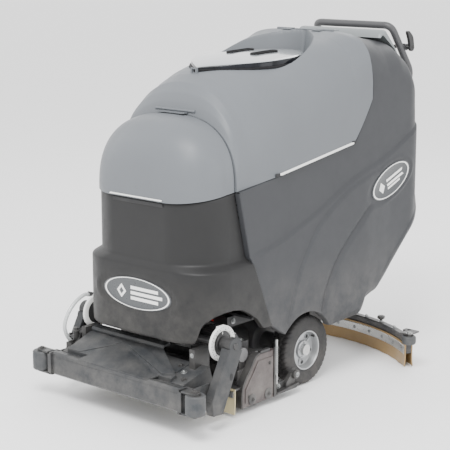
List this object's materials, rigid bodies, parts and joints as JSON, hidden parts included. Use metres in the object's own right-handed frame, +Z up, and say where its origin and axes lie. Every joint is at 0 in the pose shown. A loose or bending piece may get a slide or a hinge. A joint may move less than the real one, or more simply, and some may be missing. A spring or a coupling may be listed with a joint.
{
  "type": "walk-behind floor scrubber",
  "caption": "Walk-behind battery floor scrubber with a front extraction shoe, cylindrical brush deck, tipping recovery tank, curved rear squeegee and bail handle.",
  "frame": {"origin": "on the floor, under the middle of the machine's bounding box", "axes": "+X to the side that is on the right when the machine is seen from its front, +Y to the rear, where the handle is, +Z up"},
  "size_m": [0.952, 1.4724, 1.2579],
  "materials": {
    "frame_black": "black powder coat",
    "body_dark": "moulded, fine texture",
    "plastic_black": "moulded",
    "battery_case": "moulded",
    "motor_grey": "paint",
    "motor_black": "paint",
    "steel": "turned",
    "cast_grey": "as cast",
    "tyre_black": "rubber",
    "rim_silver": "silver paint",
    "zinc": "zinc plate",
    "caster_rubber": "moulded",
    "tank_grey": "moulded, fine texture",
    "grip_white": "moulded",
    "lid_clear": "clear moulding",
    "seal_black": "soft seal",
    "steel_black": "black",
    "console_grey": "moulded",
    "display_black": "gloss",
    "button_blue": "gloss",
    "stop_red": "gloss",
    "handle_dark": "powder coat",
    "badge_grey": "printed oval",
    "deck_black": "paint",
    "plate_brown": "paint",
    "bristle_black": "nylon bristle",
    "urethane_cream": "urethane",
    "urethane_amber": "urethane",
    "shoe_grey": "paint",
    "roller_grey": "moulded",
    "scale_white": "moulded",
    "hose_clear": "clear vinyl",
    "hose_black": "corrugated"
  },
  "bodies": {
    "machine": {"chassis_frame": "frame_black", "front_cowl": "body_dark", "side_panels": "body_dark", "main_housing": "body_dark", "head_shell": "body_dark", "batteries": "battery_case", "vacuum_motor": "motor_grey", "solution_pump": "plastic_black", "drive_axle": "steel", "transaxle": "cast_grey", "tank_hinge": "steel_black", "console": "console_grey", "console_display": "display_black", "handle_bar": "handle_dark", "badges": "badge_grey", "dial_scales": "scale_white", "vacuum_hose": "hose_black"},
    "cap": {"fill_cap": "plastic_black"},
    "left_wheel": {"left_tyre": "tyre_black", "left_rim": "rim_silver"},
    "right_wheel": {"right_tyre": "tyre_black", "right_rim": "rim_silver"},
    "left_caster": {"left_caster_fork": "zinc"},
    "left_caster_roll": {"left_caster_wheel": "caster_rubber"},
    "right_caster": {"right_caster_fork": "zinc"},
    "right_caster_roll": {"right_caster_wheel": "caster_rubber"},
    "tank": {"recovery_tank": "tank_grey", "tank_grips": "grip_white", "lid_gasket": "seal_black", "tank_fittings": "steel_black"},
    "hatch": {"front_hatch": "tank_grey", "hatch_grip": "grip_white", "hatch_leaf": "steel_black"},
    "lid": {"tank_lid": "lid_clear"},
    "key": {"key_switch": "steel"},
    "button_brush": {"brush_button": "button_blue"},
    "button_solution": {"solution_button": "button_blue"},
    "button_vacuum": {"vacuum_button": "button_blue"},
    "stop_button": {"emergency_stop": "stop_red"},
    "dial_speed": {"speed_dial": "plastic_black"},
    "paddle": {"drive_paddle": "plastic_black"},
    "deck": {"deck_housing": "deck_black", "deck_end_plates": "plate_brown", "brush_motors": "motor_black", "side_guards": "plastic_black", "deck_skirt": "urethane_cream"},
    "brush_front": {"front_brush": "bristle_black"},
    "brush_rear": {"rear_brush": "bristle_black"},
    "shoe": {"shoe_frame": "shoe_grey", "shoe_cover": "shoe_grey", "spray_hose": "hose_clear"},
    "left_bumper": {"left_bumper_roller": "roller_grey"},
    "right_bumper": {"right_bumper_roller": "roller_grey"},
    "left_dial": {"left_dial_knob": "plastic_black"},
    "right_dial": {"right_dial_knob": "plastic_black"},
    "squeegee_swing": {"squeegee_arm": "frame_black"},
    "squeegee": {"squeegee_frame": "frame_black", "squeegee_blades": "urethane_amber"},
    "left_tip_roller": {"left_squeegee_roller": "roller_grey"},
    "right_tip_roller": {"right_squeegee_roller": "roller_grey"}
  },
  "joints": [
    {"name": "left_wheel_spin", "type": "hinge", "parent": "machine", "child": "left_wheel", "pos_m": [0.2295, -0.008, 0.127], "axis": [1, 0, 0], "continuous": true},
    {"name": "right_wheel_spin", "type": "hinge", "parent": "machine", "child": "right_wheel", "pos_m": [-0.2295, -0.008, 0.127], "axis": [1, 0, 0], "continuous": true},
    {"name": "left_caster_swivel", "type": "hinge", "parent": "machine", "child": "left_caster", "pos_m": [0.09, 0.192, 0.125], "axis": [0, 0, 1], "continuous": true},
    {"name": "left_caster_spin", "type": "hinge", "parent": "left_caster", "child": "left_caster_roll", "pos_m": [0.09, 0.222, 0.05], "axis": [1, 0, 0], "continuous": true},
    {"name": "right_caster_swivel", "type": "hinge", "parent": "machine", "child": "right_caster", "pos_m": [-0.09, 0.192, 0.125], "axis": [0, 0, 1], "continuous": true},
    {"name": "right_caster_spin", "type": "hinge", "parent": "right_caster", "child": "right_caster_roll", "pos_m": [-0.09, 0.222, 0.05], "axis": [1, 0, 0], "continuous": true},
    {"name": "tank_tip", "type": "hinge", "parent": "machine", "child": "tank", "pos_m": [0, 0.297, 1.237], "axis": [-1, 0, 0], "range_deg": [0, 50]},
    {"name": "hatch_open", "type": "hinge", "parent": "tank", "child": "hatch", "pos_m": [0, -0.402, 1.004], "axis": [-1, 0, 0], "range_deg": [0, 75]},
    {"name": "lid_open", "type": "hinge", "parent": "tank", "child": "lid", "pos_m": [0, -0.307, 1.13454], "axis": [1, 0, 0], "range_deg": [0, 70]},
    {"name": "cap_open", "type": "hinge", "parent": "machine", "child": "cap", "pos_m": [-0.12, 0.704, 0.902], "axis": [1, 0, 0], "range_deg": [0, 110]},
    {"name": "key_turn", "type": "hinge", "parent": "machine", "child": "key", "pos_m": [-0.165, 0.64017, 1.10963], "axis": [0, 0.8121, 0.5835], "range_deg": [0, 90]},
    {"name": "brush_press", "type": "slide", "parent": "machine", "child": "button_brush", "axis": [0, -0.8121, -0.5835], "range_m": [0, 0.003], "stiffness_N_per_m": 400},
    {"name": "solution_press", "type": "slide", "parent": "machine", "child": "button_solution", "axis": [0, -0.8121, -0.5835], "range_m": [0, 0.003], "stiffness_N_per_m": 400},
    {"name": "vacuum_press", "type": "slide", "parent": "machine", "child": "button_vacuum", "axis": [0, -0.8121, -0.5835], "range_m": [0, 0.003], "stiffness_N_per_m": 400},
    {"name": "stop_press", "type": "slide", "parent": "machine", "child": "stop_button", "axis": [0, -0.8121, -0.5835], "range_m": [0, 0.006], "stiffness_N_per_m": 600},
    {"name": "speed_turn", "type": "hinge", "parent": "machine", "child": "dial_speed", "pos_m": [0.15, 0.6215, 1.13562], "axis": [0, 0.8121, 0.5835], "range_deg": [-135, 135]},
    {"name": "paddle_turn", "type": "hinge", "parent": "machine", "child": "paddle", "pos_m": [0, 0.692, 1.158], "axis": [1, 0, 0], "range_deg": [-14, 14], "stiffness_Nm_per_rad": 6},
    {"name": "deck_lift", "type": "slide", "parent": "machine", "child": "deck", "axis": [0, 0, 1], "range_m": [0, 0.028]},
    {"name": "front_brush_spin", "type": "hinge", "parent": "deck", "child": "brush_front", "pos_m": [0, -0.358, 0.044], "axis": [1, 0, 0], "continuous": true},
    {"name": "rear_brush_spin", "type": "hinge", "parent": "deck", "child": "brush_rear", "pos_m": [0, -0.274, 0.044], "axis": [1, 0, 0], "continuous": true},
    {"name": "shoe_lower", "type": "hinge", "parent": "machine", "child": "shoe", "pos_m": [0, -0.503, 0.272], "axis": [1, 0, 0], "range_deg": [0, 12]},
    {"name": "left_bumper_spin", "type": "hinge", "parent": "shoe", "child": "left_bumper", "pos_m": [0.363, -0.703, 0.128], "axis": [0, 0, 1], "continuous": true},
    {"name": "right_bumper_spin", "type": "hinge", "parent": "shoe", "child": "right_bumper", "pos_m": [-0.363, -0.703, 0.128], "axis": [0, 0, 1], "continuous": true},
    {"name": "left_dial_turn", "type": "hinge", "parent": "machine", "child": "left_dial", "pos_m": [0.298, -0.503, 0.272], "axis": [1, 0, 0], "range_deg": [-150, 150]},
    {"name": "right_dial_turn", "type": "hinge", "parent": "machine", "child": "right_dial", "pos_m": [-0.298, -0.503, 0.272], "axis": [1, 0, 0], "range_deg": [-150, 150]},
    {"name": "squeegee_swivel", "type": "hinge", "parent": "machine", "child": "squeegee_swing", "pos_m": [0, 0.307, 0.155], "axis": [0, 0, 1], "range_deg": [-20, 20]},
    {"name": "squeegee_lift", "type": "hinge", "parent": "squeegee_swing", "child": "squeegee", "pos_m": [0, 0.357, 0.15], "axis": [1, 0, 0], "range_deg": [0, 14], "deforming": ["vacuum_hose"]},
    {"name": "left_tip_spin", "type": "hinge", "parent": "squeegee", "child": "left_tip_roller", "pos_m": [0.45, 0.364, 0.118], "axis": [0, 0, 1], "continuous": true},
    {"name": "right_tip_spin", "type": "hinge", "parent": "squeegee", "child": "right_tip_roller", "pos_m": [-0.45, 0.364, 0.118], "axis": [0, 0, 1], "continuous": true}
  ],
  "couplings": [
    {"joint": "rear_brush_spin", "follows": "front_brush_spin", "ratio": -1}
  ]
}
